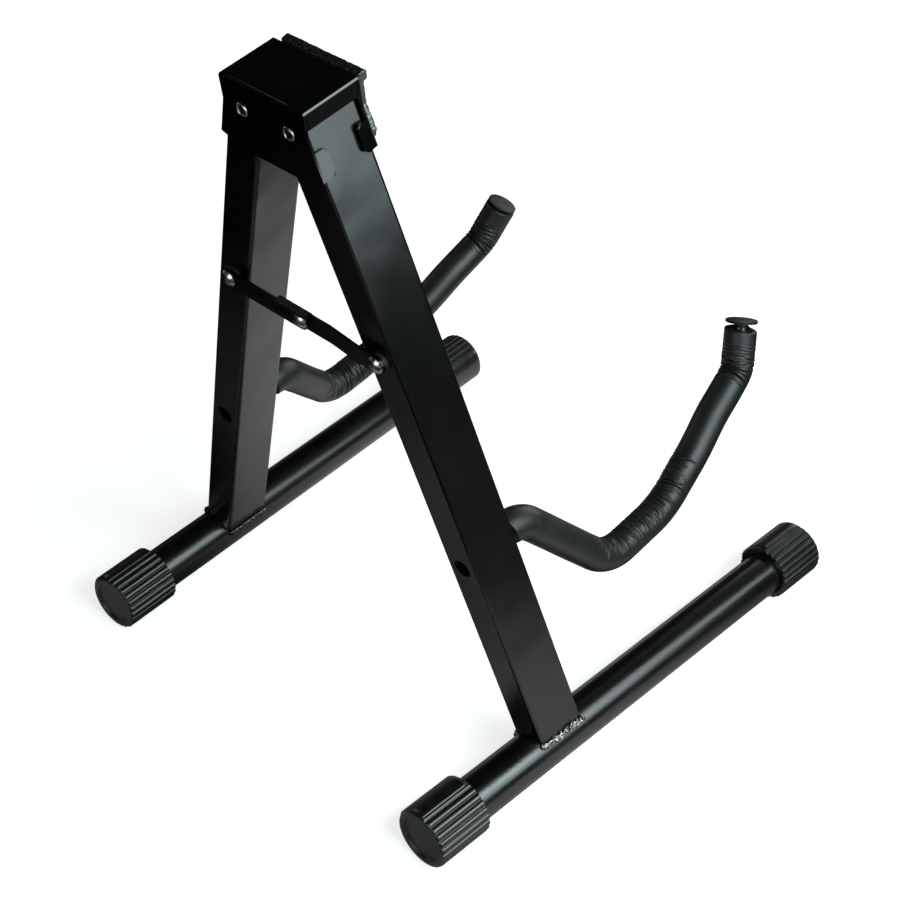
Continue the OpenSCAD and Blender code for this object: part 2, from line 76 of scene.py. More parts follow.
# The part's driving sizes, as in its source: millimetres, and angles in radians
LEG_LEN = 375  # head pivot to base tube axis, along the leg
LEG_W, LEG_D = 20, 30
LEG_GAP = 8.8  # between the two legs at the head when folded
SPREAD, LEAN = math.radians(17.4), math.radians(9)
TUBE_D = 25.4
FRONT_REACH, REAR_REACH = 218, 99  # leg axis to the feet's outer ends
FOOT_D, FOOT_LEN, FOOT_END = 33.5, 33.5, 4  # across the crests, length, and thickness of the end
RIBS, RIB_H = 24, 1.2
DISC_D, DISC_DEPTH = 25.0, 1.2  # the feet's recessed disc; the CAD's is 23.6 across
ARM_DROP = 242.5  # head pivot to the arm's hole, along the leg
ARM_D, FOAM_D = 10, 18.4
FOAM_GAP = 1  # between the foam sleeve and the leg's front
# The arm's straights, each with the turn in degrees and the radius of the bend after it
ARM_PATH = (
    (1.8, 55, 20),
    (54, -54, 27),
    (22, -25, 58),
    (72, -38, 14.4),
    (20.2, 0, 0),
)

# Where the part's own places are at rest, for the right side
MM = 0.001
PIVOT_X = (LEG_GAP + LEG_W) / 2
PIVOT_Z = FOOT_D / 2 + LEG_LEN * math.cos(SPREAD) * math.cos(LEAN)
TUBE_TILT = math.atan(math.tan(LEAN) / math.cos(SPREAD))
TOE_OUT = math.asin(math.sin(TUBE_TILT) * math.sin(SPREAD))
FOOT_ROLL = math.asin(math.sin(SPREAD) * math.cos(LEAN))
HEAD_Y = LEG_LEN * math.cos(SPREAD) * math.sin(LEAN) + (FRONT_REACH - REAR_REACH) / 2 * math.cos(TOE_OUT)
HEAD = Matrix.Translation((0, HEAD_Y, PIVOT_Z)) @ Matrix.Rotation(-LEAN, 4, "X")
LEG = HEAD @ Matrix.Translation((PIVOT_X, 0, 0)) @ Matrix.Rotation(-SPREAD, 4, "Y")
TUBE = LEG @ Matrix.Translation((0, 0, -LEG_LEN)) @ Matrix.Rotation(TUBE_TILT, 4, "X")
ARM = LEG @ Matrix.Translation((0, -LEG_D / 2, -ARM_DROP)) @ Matrix.Rotation(math.pi / 2, 4, "X")
MIRROR = Matrix.Scale(-1, 4, (1, 0, 0))


def placed(points, place, side):
    """Points from a place's own millimetres, brought to metres and mirrored for the left side."""
    move = Matrix.Scale(MM, 4) @ (MIRROR @ place if side == "left" else place)
    return [move @ Vector(p) for p in points]


# Node helpers
NOISE_MIDDLE = (0.3, 0.7)  # where most of a noise lies


def feed(tree, value, socket):
    """Gives a socket a number, or joins another node's output to it."""
    if isinstance(value, bpy.types.NodeSocket):
        tree.links.new(value, socket)
    else:
        socket.default_value = value


def calc(tree, operation, *values):
    """The output of a Math node, from numbers and other nodes' outputs."""
    node = tree.nodes.new("ShaderNodeMath")
    node.operation = operation
    for value, socket in zip(values, node.inputs):
        feed(tree, value, socket)
    return node.outputs[0]


def mixed(tree, share, first, second):
    """The first number where the share is 0, and the second where it is 1."""
    node = tree.nodes.new("ShaderNodeMix")
    node.data_type = "FLOAT"
    feed(tree, share, node.inputs[0])
    feed(tree, first, node.inputs[2])
    feed(tree, second, node.inputs[3])
    return node.outputs[0]


def ranged(tree, value, source, target, curve="LINEAR"):
    """A value brought from the source range to the target range, and held at its ends."""
    node = tree.nodes.new("ShaderNodeMapRange")
    node.interpolation_type = curve
    for name, limit in zip(("From Min", "From Max", "To Min", "To Max"), (*source, *target)):
        node.inputs[name].default_value = limit
    tree.links.new(value, node.inputs["Value"])
    return node.outputs["Result"]


def noise_of(tree, scale, detail, rough, stretch=None):
    """3-D noise over the object's own metres, finer along an axis that is stretched."""
    place = tree.nodes.new("ShaderNodeTexCoord").outputs["Object"]
    if stretch:
        mapping = tree.nodes.new("ShaderNodeMapping")
        mapping.inputs["Scale"].default_value = stretch
        tree.links.new(place, mapping.inputs["Vector"])
        place = mapping.outputs["Vector"]
    texture = tree.nodes.new("ShaderNodeTexNoise")
    for name, value in (("Scale", scale), ("Detail", detail), ("Roughness", rough)):
        texture.inputs[name].default_value = value
    tree.links.new(place, texture.inputs["Vector"])
    return texture.outputs["Fac"]


def bump(tree, shader, height, strength, depth):
    """Adds a bump on top of those that the shader has."""
    node = tree.nodes.new("ShaderNodeBump")
    node.inputs["Strength"].default_value = strength
    node.inputs["Distance"].default_value = depth
    tree.links.new(height, node.inputs["Height"])
    normal = shader.inputs["Normal"]
    if normal.is_linked:
        tree.links.new(normal.links[0].from_socket, node.inputs["Normal"])
    tree.links.new(node.outputs["Normal"], normal)


def tinted(tree, value, dark, light):
    """A colour that goes from dark to light over the middle of a noise's range."""
    ramp = tree.nodes.new("ShaderNodeValToRGB")
    for element, position, color in zip(ramp.color_ramp.elements, NOISE_MIDDLE, (dark, light)):
        element.position = position
        element.color = (*color, 1)
    tree.links.new(value, ramp.inputs["Fac"])
    return ramp.outputs["Color"]


# Materials
def look(name, dark, light, cloud, rough, bumps, specular=0.5, metallic=0.0, cloud_range=NOISE_MIDDLE):
    """A material whose roughness follows a cloud of noise, as its colour does unless light is None.

    A noise is its scale, detail and roughness. Each bump is a noise, a strength and a depth in metres.
    """
    mat = bpy.data.materials.new(name)
    mat.use_nodes = True
    tree = mat.node_tree
    shader = tree.nodes["Principled BSDF"]
    shader.inputs["Metallic"].default_value = metallic
    shader.inputs["Specular IOR Level"].default_value = specular
    clouds = noise_of(tree, *cloud)
    color = tinted(tree, clouds, dark, light) if light else (*dark, 1)
    feed(tree, color, shader.inputs["Base Color"])
    tree.links.new(ranged(tree, clouds, cloud_range, rough), shader.inputs["Roughness"])
    for grain, strength, depth in bumps:
        bump(tree, shader, noise_of(tree, *grain), strength, depth)
    return mat


def shader_inputs(mat):
    """The sockets of a material's shader."""
    return mat.node_tree.nodes["Principled BSDF"].inputs


def powder_coat(name, rough, peel_scale, peel_depth, shine, waves=()):
    """Satin black powder coat: faintly cloudy, with orange peel and fine dust in it."""
    peel = ((peel_scale, 2, 0.45), 0.5, peel_depth)
    dust = ((peel_scale * 5, 2, 0.5), 0.25, peel_depth * 0.3)
    return look(
        name,
        dark=(0.0012, 0.0013, 0.0014),
        light=(0.0022, 0.0024, 0.0025),
        cloud=(28, 4, 0.6),
        rough=rough,
        bumps=(peel, dust, *waves),
        specular=shine,
    )


def weld_coat():
    """The same paint, pooled thick and bright over the weld's ripples."""
    mat = powder_coat("weld_powder_coat", rough=(0.12, 0.2), peel_scale=500, peel_depth=0.00005, shine=1.0)
    for name, value in (("Coat Weight", 1.0), ("Coat IOR", 3.0), ("Coat Roughness", 0.1)):
        shader_inputs(mat)[name].default_value = value
    return mat


def rubber_look(name, dark, light, rough, shine):
    """Moulded rubber with a fine grain."""
    grain = ((1800, 3, 0.6), 0.35, 0.00012)
    return look(name, dark, light, cloud=(90, 5, 0.6), rough=rough, bumps=(grain,), specular=shine)


def zinc_look():
    """Bright zinc plate, with faint handling marks."""
    marks = ((900, 3, 0.6, (1, 1, 4)), 0.2, 0.00005)
    return look(
        "zinc_plate",
        dark=(0.60, 0.61, 0.62),
        light=(0.80, 0.81, 0.82),
        cloud=(420, 4, 0.6),
        rough=(0.16, 0.34),
        bumps=(marks,),
        metallic=1.0,
    )


def foam_look():
    """Closed-cell foam skin: dark and satin, with fine pores, and painted shade deep in its folds, where
    its shine is turned down.
    """
    mat = look(
        "foam_skin",
        dark=(0.006, 0.0065, 0.007),
        light=(0.011, 0.012, 0.0125),
        cloud=(60, 5, 0.65),
        rough=(0.38, 0.47),
        bumps=(((2600, 3, 0.6), 0.35, 0.00012),),
        specular=0.58,
    )
    tree = mat.node_tree
    fold = tree.nodes.new("ShaderNodeAttribute")
    fold.attribute_name = "fold"
    # painted shade: the deeper a fold, the less the foam shines there
    shine = ranged(tree, fold.outputs["Fac"], (0.1, 0.6), (0.62, 0.08))
    tree.links.new(shine, shader_inputs(mat)["Specular IOR Level"])
    return mat


def pad_look():
    """Coarse sponge rubber: open pores between dark crumbs, some of which catch the light."""
    crumbs = (900, 3, 0.6)
    mat = look(
        "pad_sponge",
        dark=(0.001, 0.001, 0.0012),
        light=(0.012, 0.013, 0.013),
        cloud=crumbs,
        rough=(0.7, 0.26),
        bumps=((crumbs, 1.0, 0.0009),),
        cloud_range=(0.4, 0.65),
    )
    tree = mat.node_tree
    shine = ranged(tree, noise_of(tree, *crumbs), (0.42, 0.62), (0.02, 0.9))
    tree.links.new(shine, shader_inputs(mat)["Specular IOR Level"])
    return mat


def pad_side_painted_light_look():
    """The pad's cut ends: the same rubber, closed and nearly smooth, and painted a lighter grey that
    stands in for the light falling on them.
    """
    return look(
        "pad_cut_side_painted_light",
        dark=(0.05, 0.053, 0.053),
        light=None,
        cloud=(220, 4, 0.6),
        rough=(0.20, 0.30),
        bumps=(((500, 3, 0.6), 0.4, 0.00006),),
        specular=1.0,
    )


def plastic_look():
    """The black plastic of the strut's washers."""
    return look(
        "washer_plastic",
        dark=(0.01, 0.01, 0.01),
        light=None,
        cloud=(300, 3, 0.5),
        rough=(0.4, 0.6),
        bumps=(),
    )


# The legs' faces are a little wavy, which breaks up what they reflect
LEG_WAVES = ((28, 1, 0.4), 1.0, 0.0008)
LEG_COAT = powder_coat(
    "leg_powder_coat",
    rough=(0.17, 0.22),
    peel_scale=260,
    peel_depth=0.00003,
    shine=0.75,
    waves=(LEG_WAVES,),
)
SHEET_COAT = powder_coat(
    "bracket_powder_coat",
    rough=(0.12, 0.17),
    peel_scale=320,
    peel_depth=0.00002,
    shine=0.82,
)
BAR_COAT = powder_coat(
    "strut_powder_coat",
    rough=(0.2, 0.27),
    peel_scale=320,
    peel_depth=0.00002,
    shine=0.28,
)
TUBE_COAT = powder_coat(
    "tube_powder_coat",
    rough=(0.21, 0.27),
    peel_scale=700,
    peel_depth=0.00008,
    shine=1.0,
)
WELD_COAT = weld_coat()
FOOT_RUBBER = rubber_look(
    "foot_rubber",
    dark=(0.003, 0.003, 0.0035),
    light=(0.006, 0.006, 0.0065),
    rough=(0.25, 0.33),
    shine=1.0,
)
PLUG_RUBBER = rubber_look(
    "plug_rubber",
    dark=(0.002, 0.002, 0.0022),
    light=(0.004, 0.004, 0.0042),
    rough=(0.4, 0.5),
    shine=0.35,
)
ZINC = zinc_look()
FOAM = foam_look()
PAD = pad_look()
PAD_SIDE_PAINTED_LIGHT = pad_side_painted_light_look()
PLASTIC = plastic_look()

# A CAD node wears the first of these whose word its name has; the bracket and the arms wear the last
NODE_LOOKS = (
    ("leg_weld", WELD_COAT),
    ("_leg", LEG_COAT),
    ("base_tube", TUBE_COAT),
    ("foot", FOOT_RUBBER),
    ("plug", PLUG_RUBBER),
    ("rivet", ZINC),
    ("foam", FOAM),
    ("head_pad", PAD),
    ("washer", PLASTIC),
    ("strut_bar", BAR_COAT),
    ("", SHEET_COAT),
)


def wear(obj, mat):
    """Gives an object one material all over."""
    obj.data.materials.clear()
    obj.data.materials.append(mat)
    for face in obj.data.polygons:
        face.material_index = 0


for name, obj in nodes.items():
    wear(obj, next(mat for word, mat in NODE_LOOKS if word in name))


# Mesh helpers
def dress(obj, mat, body, stands_for):
    """Shades a new piece smooth and says what it wears, rides on and replaces."""
    for face in obj.data.polygons:
        face.use_smooth = True
    wear(obj, mat)
    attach(obj, body)
    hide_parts(stands_for)


def new_piece(name, points, faces, mat, body, stands_for):
    """A piece with its own mesh, closed and facing outwards."""
    mesh = bpy.data.meshes.new(name)
    mesh.from_pydata([tuple(p) for p in points], [], faces)
    obj = bpy.data.objects.new(name, mesh)
    scene.collection.objects.link(obj)
    bm = bmesh.new()
    bm.from_mesh(mesh)
    bmesh.ops.recalc_face_normals(bm, faces=bm.faces)
    bm.to_mesh(mesh)
    bm.free()
    dress(obj, mat, body, stands_for)
    return obj


def bands(first, rings, around, closed=False):
    """Faces between rings of points that follow one another, and back to the first ring if closed."""
    faces = []
    for i in range(rings if closed else rings - 1):
        a = first + i * around
        b = first + (i + 1) % rings * around
        for j in range(around):
            k = (j + 1) % around
            faces.append((a + j, a + k, b + k, b + j))
    return faces


def circle(steps):
    """Angles of evenly spaced steps round a circle."""
    return np.arange(steps) * 2 * math.pi / steps


def turned(angle, middle=0.0):
    """Angles as seen from a middle one, from -pi to pi."""
    return (angle - middle + math.pi) % (2 * math.pi) - math.pi


# Foam sleeves, in millimetres, with angles round the arm from its upper side
SLEEVE_STEP, SLEEVE_AROUND = 0.33, 96
SLEEVE_PLAY = 0.04  # between the arm and the sleeve's inner wall
INNER_STEP = 8  # rings of the skin for each ring of the inner wall
FOLD_SEED = {"left": 11, "right": 23}
LUMP_SEED = {"left": 5, "right": 9}
LUMP_RISE = 0.14
LUMP_PACE = (0.05, 0.8)  # how fast the lumps change along the sleeve and round it
FOLD_SWELL, FOLD_SINK = 0.25, 1.7  # the most that folds raise and sink the skin
FADE_IN, FADE_LEAST = 9, 0.2  # length over which a run of folds starts and stops, and its first depth
FADE_POWER = 0.7  # how evenly deep a fold is from end to end
SWELL, SWELL_AWAY = 0.35, 2.0  # the skin beside a fold: share of its depth, and widths away from it
END_ROUND = 1.0
# The ends, pushed along the arm: within what length, and how far, evenly and more on one side
ROOT_LEN, ROOT_PUSH = 7, 0.9
TIP_LEN = 12
LEFT_TIP_PUSH, LEFT_TIP_SLANT = 0.4, 0.9
RIGHT_TIP_PUSH, RIGHT_TIP_SLANT = 0.3, 0.15


def arm_line(step):
    """Points along the arm: distance along it, y and z in its own plane, and heading."""
    rows = []
    y = z = heading = run = 0.0
    for straight, turn, radius in ARM_PATH:
        count = max(1, round(straight / step))
        for i in range(count):
            t = straight * i / count
            rows.append((run + t, y - math.sin(heading) * t, z + math.cos(heading) * t, heading))
        y -= math.sin(heading) * straight
        z += math.cos(heading) * straight
        run += straight
        if turn:
            way = math.copysign(1, turn)
            arc = radius * math.radians(abs(turn))
            centre_y = y - way * math.cos(heading) * radius
            centre_z = z - way * math.sin(heading) * radius
            count = max(2, round(arc / step))
            for i in range(count):
                t = arc * i / count
                h = heading + way * t / radius
                at_y = centre_y + way * math.cos(h) * radius
                at_z = centre_z + way * math.sin(h) * radius
                rows.append((run + t, at_y, at_z, h))
            heading += way * arc / radius
            y = centre_y + way * math.cos(heading) * radius
            z = centre_z + way * math.sin(heading) * radius
            run += arc
    rows.append((run, y, z, heading))
    return np.array(rows)


def bend_spans():
    """Where the arm's bends start and end, as distances along it."""
    lengths = [(straight, radius * math.radians(abs(turn))) for straight, turn, radius in ARM_PATH]
    return np.cumsum(lengths).reshape(-1, 2)


ROOT_BEND, VALLEY_BEND, RISE_BEND, TIP_BEND, _ = bend_spans()
# Runs of folds: start, end, middle angle, half spread, pitch and depth
FOLD_RUNS = (
    (VALLEY_BEND[0] - 8, RISE_BEND[1] + 20, -0.2, 1.7, 2.1, 1.0),
    (VALLEY_BEND[0] - 5, RISE_BEND[1] + 14, -1.0, 1.1, 2.6, 0.7),
    (VALLEY_BEND[1], RISE_BEND[1] + 8, 0.8, 1.0, 2.3, 0.55),
    (ROOT_BEND[0] + 2, ROOT_BEND[1] + 2, math.pi, 1.2, 2.6, 0.4),
    (TIP_BEND[0] - 6, TIP_BEND[1] + 12, 0.1, 1.7, 1.9, 1.0),
    (TIP_BEND[0] + 3, TIP_BEND[1] + 12, 1.6, 1.3, 2.4, 0.8),
)
# Deeper creases where the sleeve kinks at the tip's bend: place, depth and width
KINKS = (
    (TIP_BEND[0] - 1.0, 1.3, 0.6),
    (TIP_BEND[0] + 1.9, 0.9, 0.5),
    (TIP_BEND[0] + 4.6, 0.8, 0.5),
)
KINK_SPREAD, KINK_WAVE = 2.0, 0.6  # how far round the arm they reach, and how much they waver
# Where the sleeve bunches and sits off the arm's middle: distance past the rise bend, width and shift
BUNCHES = ((48, 12, 0.8), (22, 12, -0.5))


def folds(s, angle, rng):
    """How far the skin sinks in its folds, which are short slanting arcs in runs."""
    sink = np.zeros((len(s), len(angle)))
    for start, end, centre, spread, pitch, depth in FOLD_RUNS:
        at = start
        while at < end:
            ramp = min(1.0, (at - start) / FADE_IN + FADE_LEAST, (end - at) / FADE_IN + FADE_LEAST)
            middle = centre + rng.normal(0, 0.35)
            reach = spread * rng.uniform(0.35, 1.1)
            width = rng.uniform(0.32, 0.52)
            slant = rng.normal(0, 0.8)
            wave = rng.uniform(0.15, 0.5)
            phase = rng.uniform(0, 6.3)
            off = turned(angle, middle)
            line = at + slant * off + wave * np.sin(4 * off + phase)
            fade = np.clip(1 - (off / reach) ** 2, 0, 1) ** FADE_POWER
            fold = depth * ramp * rng.uniform(0.4, 1.0) * fade
            away = (s[:, None] - line[None, :]) / width
            valley = np.exp(-(away**2))
            sides = np.exp(-((np.abs(away) - SWELL_AWAY) ** 2))
            sink += fold * (valley - SWELL * sides)
            at += pitch * rng.uniform(0.55, 1.45)
    return sink


def kinks(s, angle):
    """How far the skin sinks in the tip's creases."""
    off = turned(angle)
    fade = np.clip(1 - (off / KINK_SPREAD) ** 2, 0, 1)
    sink = 0
    for at, depth, width in KINKS:
        away = (s[:, None] - at - KINK_WAVE * np.sin(2 * off)) / width
        sink = sink + depth * fade * np.exp(-(away**2))
    return sink


def lumps(side, s, angle):
    """The skin's slow unevenness."""
    seed = Vector((0, 0, LUMP_SEED[side]))
    along, round_arm = LUMP_PACE
    rise = np.zeros((len(s), len(angle)))
    for i in range(len(s)):
        for j in range(len(angle)):
            p = Vector((s[i] * along, math.cos(angle[j]) * round_arm, math.sin(angle[j]) * round_arm))
            rise[i, j] = LUMP_RISE * noise.noise(p + seed)
    return rise


def near_end(s, end, reach):
    """1 at a sleeve's end, falling evenly to 0 within its reach."""
    return np.clip(1 - np.abs(s - end) / reach, 0, 1)


def skin_radius(side, s, angle, sink):
    """The sleeve's outer radius, with lumps, folds and rounded ends."""
    radius = FOAM_D / 2 + lumps(side, s, angle)
    radius -= np.clip(sink, -FOLD_SWELL, FOLD_SINK)
    for end in (s[0], s[-1]):
        near = near_end(s, end, END_ROUND)
        radius -= (END_ROUND * (1 - np.sqrt(1 - near**2)))[:, None]
    return radius


def end_push(side, s, angle):
    """How far points are pushed along the arm: the root gapes below, and the tips sit back and slant."""
    up, out = np.cos(angle), np.sin(angle)
    gape = ROOT_PUSH - ROOT_PUSH * up
    if side == "left":
        back = LEFT_TIP_PUSH + LEFT_TIP_SLANT * (1 + out)
    else:
        back = RIGHT_TIP_PUSH + RIGHT_TIP_SLANT * up
    return np.outer(near_end(s, s[0], ROOT_LEN), gape) - np.outer(near_end(s, s[-1], TIP_LEN), back)


def ring(row, radius, shift, push, angle):
    """A loop of points round the arm at one row of its line."""
    _, y, z, heading = row
    up = radius * np.cos(angle) + shift
    return np.stack(
        [
            radius * np.sin(angle),
            y + up * math.cos(heading) - push * math.sin(heading),
            z + up * math.sin(heading) + push * math.cos(heading),
        ],
        1,
    )


def sleeve(side):
    """A foam sleeve round its arm: a wrinkled skin outside and a plain wall on the arm."""
    line = arm_line(SLEEVE_STEP)
    line = line[line[:, 0] >= FOAM_GAP]
    s = line[:, 0]
    angle = circle(SLEEVE_AROUND)
    sink = folds(s, angle, np.random.default_rng(FOLD_SEED[side])) + kinks(s, angle)
    radius = skin_radius(side, s, angle, sink)
    push = end_push(side, s, angle)
    past = s - RISE_BEND[1]
    shift = sum(off * np.exp(-(((past - at) / width) ** 2)) for at, width, off in BUNCHES)
    skin = [ring(line[i], radius[i], shift[i], push[i], angle) for i in range(len(s))]
    inner_rows = [*range(0, len(s) - 1, INNER_STEP), len(s) - 1]
    wall = [ring(line[i], ARM_D / 2 + SLEEVE_PLAY, 0, push[i], angle) for i in inner_rows]
    loops = skin + wall[::-1]
    points = placed(np.concatenate(loops), ARM, side)
    faces = bands(0, len(loops), SLEEVE_AROUND, closed=True)
    name = f"{side}_foam_sleeve"
    obj = new_piece(name, points, faces, FOAM, f"{side}_side", f"{side}_arm_foam")
    # how deep each point lies in a fold, for the painted shade in the foam's folds
    deep = obj.data.attributes.new("fold", "FLOAT", "POINT")
    deep.data.foreach_set("value", np.concatenate([sink.ravel(), np.zeros(len(points) - sink.size)]))


for side in SIDES:
    sleeve(side)

# Rubber feet, in millimetres
RIB_STEPS = 14
CREST_SHARE = 0.92  # how much of the pitch the round of a rib takes
LAND_RISE, LAND_POWER = 0.7, 10  # how far the land stands out, and how square its edges are
LAND_PLAY = 0.001  # an angle, so that the land's own edges belong to it
# Depth from the mouth, and how far the skin keeps inside the ribs' crests there
LIP = ((0.0, 0.5), (0.06, 0.25), (0.2, 0.08), (0.4, 0.0), (0.6, -0.8))
SIDE_INSET = -0.8  # outside the crests, so that it leaves them and the land as they are
SIDE_FROM, SIDE_TO, SIDE_ROWS = 3, FOOT_LEN - 4.2, 6
# The same, with the depth from the closed end
SHOULDER = (
    (-1.5, SIDE_INSET),
    (-1.2, -0.3),
    (-1.05, 0.0),
    (-0.85, 0.12),
    (-0.5, 0.38),
    (-0.25, 0.75),
    (-0.08, 1.15),
    (0, 1.6),
)
# From the end face down into the disc: how far outside the disc's edge, and how far past the end
DISC_EDGE = ((0.5, 0), (0.15, -0.1), (0, -0.35), (-0.1, -0.8), (-0.35, -1.1), (-0.8, -DISC_DEPTH))
# The disc's face, which is a little crowned: share of its radius, and rise above its edge
DISC_FACE = ((0.6, 0.1), (0.25, 0.15))
DISC_CROWN = 0.15
BORE_PLAY, BORE_LEAD, BORE_MIDDLE = 0.05, 0.6, 12
# The smooth land on each foot, in degrees over the top from the inner side; each is at its own turn
LANDS = {
    ("left", "front"): (8, 83),
    ("left", "rear"): (15, 90),
    ("right", "front"): (-30, 45),
    ("right", "rear"): (105, 180),
}


def foot_skin(side, end, turn):
    """How far the skin lies inside the ribs' crests, round a foot; the land stands proud of them."""
    low, high = (math.radians(v) for v in LANDS[side, end])
    half = (high - low) / 2
    middle = (low + high) / 2
    middle = math.pi - middle if end == "front" else math.pi + middle
    # 0 on a crest and 1 in the middle of a groove
    across = np.abs(((turn - middle + half) * RIBS / (2 * math.pi) + 0.5) % 1 - 0.5) * 2
    ribs = RIB_H * (1 - np.sqrt(np.clip(1 - (across / CREST_SHARE) ** 2, 0, 1)))
    off = np.abs(turned(turn, middle))
    land = -LAND_RISE * np.sqrt(np.clip(1 - (off / half) ** LAND_POWER, 0, 1))
    return np.where(off <= half + LAND_PLAY, land, ribs)


def foot_rings(side, end, turn):
    """Rings of radius and depth for a foot: its outside from the mouth to the disc, and its bore."""
    crest_r, disc_r, bore_r = FOOT_D / 2, DISC_D / 2, TUBE_D / 2 + BORE_PLAY
    skin = foot_skin(side, end, turn)
    rows = [*LIP]
    rows += [(z, SIDE_INSET) for z in np.linspace(SIDE_FROM, SIDE_TO, SIDE_ROWS)]
    rows += [(FOOT_LEN + dz, inset) for dz, inset in SHOULDER]
    ribbed = [(np.minimum(crest_r - skin, crest_r - inset), z) for z, inset in rows]
    disc = [(disc_r + out, FOOT_LEN + dz) for out, dz in DISC_EDGE]
    disc += [(disc_r * share, FOOT_LEN - DISC_DEPTH + rise) for share, rise in DISC_FACE]
    bore = [(bore_r, z) for z in (FOOT_LEN - FOOT_END, BORE_MIDDLE, BORE_LEAD)]
    bore.append((bore_r + BORE_LEAD, 0))
    outside = ribbed + [(np.full(len(turn), r), z) for r, z in disc]
    return outside, [(np.full(len(turn), r), z) for r, z in bore]


def foot(side, end):
    """A foot with rounded ribs, a smooth land, soft lips and a recessed disc in its end."""
    around = RIBS * RIB_STEPS
    turn = circle(around)
    outside, bore = foot_rings(side, end, turn)
    points, faces = [], []
    for rings in (outside, bore):
        start = len(points)
        for radius, z in rings:
            points += [(x, y, z) for x, y in zip(radius * np.cos(turn), radius * np.sin(turn))]
        faces += bands(start, len(rings), around)
    # the disc's middle, the bore's bottom, and the mouth between the bore and the skin
    disc = (len(outside) - 1) * around
    bottom = len(outside) * around
    mouth = bottom + (len(bore) - 1) * around
    points.append((0, 0, FOOT_LEN - DISC_DEPTH + DISC_CROWN))
    faces += [(disc + j, disc + (j + 1) % around, len(points) - 1) for j in range(around)]
    points.append((0, 0, FOOT_LEN - FOOT_END))
    faces += [(bottom + (j + 1) % around, bottom + j, len(points) - 1) for j in range(around)]
    faces += [(mouth + j, mouth + (j + 1) % around, (j + 1) % around, j) for j in range(around)]
    # a foot's own depth points to its closed end, forwards or backwards along the tube
    along = FOOT_LEN - FRONT_REACH if end == "front" else REAR_REACH - FOOT_LEN
    way = math.pi / 2 if end == "front" else -math.pi / 2
    place = TUBE @ Matrix.Translation((0, along, 0)) @ Matrix.Rotation(FOOT_ROLL, 4, "Y")
    points = placed(points, place @ Matrix.Rotation(way, 4, "X"), side)
    name = f"{side}_{end}_foot"
    new_piece(f"{name}_rubber", points, faces, FOOT_RUBBER, f"{side}_side", name)


for side, end in LANDS:
    foot(side, end)


# Pad and welds: the CAD's own forms, remeshed fine and roughened
PAD_VOXEL, BEAD_VOXEL = 0.0005, 0.00035
PAD_LUMPS = ((900, 0.0002), (240, 0.00022))  # scale and depth of each noise
PAD_END = 0.65  # faces turned this far towards the sides are the pad's cut ends, which get the painted lighter grey
PAD_ROUNDS = 2
SMOOTHING = 0.5
NOISE_FALL, NOISE_STEP, NOISE_OCTAVES = 1.0, 2.0, 2
# Each bead's material, rounds of smoothing and lumps: the left one rough and bright, the right one smooth
BEADS = {
    "left": (WELD_COAT, 2, ((300, 0.001), (750, 0.0005))),
    "right": (LEG_COAT, 6, ((300, 0.0003),)),
}


def remade(name, source, voxel, rounds, lumpy, mat, body):
    """A CAD node remeshed fine, smoothed, and moved along its normals by noise."""
    obj = bpy.data.objects.new(name, source.data.copy())
    scene.collection.objects.link(obj)
    remesh = obj.modifiers.new("remesh", "REMESH")
    remesh.mode = "VOXEL"
    remesh.voxel_size = voxel
    remesh.use_smooth_shade = True
    graph = bpy.context.evaluated_depsgraph_get()
    made = bpy.data.meshes.new_from_object(obj.evaluated_get(graph))
    obj.modifiers.clear()
    obj.data = made
    bm = bmesh.new()
    bm.from_mesh(made)
    axes = {f"use_axis_{axis}": True for axis in "xyz"}
    for _ in range(rounds):
        bmesh.ops.smooth_vert(bm, verts=bm.verts, factor=SMOOTHING, **axes)
    bm.normal_update()
    for v in bm.verts:
        rise = 0
        for scale, depth in lumpy:
            rise += depth * noise.fractal(v.co * scale, NOISE_FALL, NOISE_STEP, NOISE_OCTAVES)
        v.co += v.normal * rise
    bm.to_mesh(made)
    bm.free()
    dress(obj, mat, body, source.name)
    return obj


def make_pad():
    """The sponge pad on the head, whose cut ends are smooth and painted lighter for the light on them."""
    source = nodes["head_pad"]
    pad = remade("head_pad_sponge", source, PAD_VOXEL, PAD_ROUNDS, PAD_LUMPS, PAD, "head")
    pad.data.materials.append(PAD_SIDE_PAINTED_LIGHT)
    for face in pad.data.polygons:
        face.material_index = 1 if abs(face.normal.x) > PAD_END else 0


make_pad()
for side in SIDES:
    mat, rounds, lumpy = BEADS[side]
    weld = nodes[f"{side}_leg_weld"]
    remade(f"{side}_weld_bead", weld, BEAD_VOXEL, rounds, lumpy, mat, f"{side}_side")

# Edges of the folded sheet and of the bars, in metres
SHEET_EDGE, BAR_EDGE = 0.0008, 0.00022
SHARP = math.radians(35)
SAME_POINT = 0.000002


def soften(obj, width, segments):
    """Rounds a CAD node's hard edges in view and keeps its own mesh as it is."""
    weld = obj.modifiers.new("weld", "WELD")
    weld.merge_threshold = SAME_POINT
    bevel = obj.modifiers.new("bevel", "BEVEL")
    bevel.width = width
    bevel.segments = segments
    bevel.limit_method = "ANGLE"
    bevel.angle_limit = SHARP
    bevel.harden_normals = False
    bevel.use_clamp_overlap = True
    even = obj.modifiers.new("face_normals", "WEIGHTED_NORMAL")
    even.mode = "FACE_AREA"
    even.weight = 50


soften(nodes["head_bracket"], SHEET_EDGE, 3)
for side in SIDES:
    soften(nodes[f"{side}_strut_bar"], BAR_EDGE, 2)

# The white sheet under the stand, in metres
SHEET_HALF, SHEET_DROP = 6.0, 0.0002
SHEET_GREY = (0.82, 0.82, 0.82, 1)
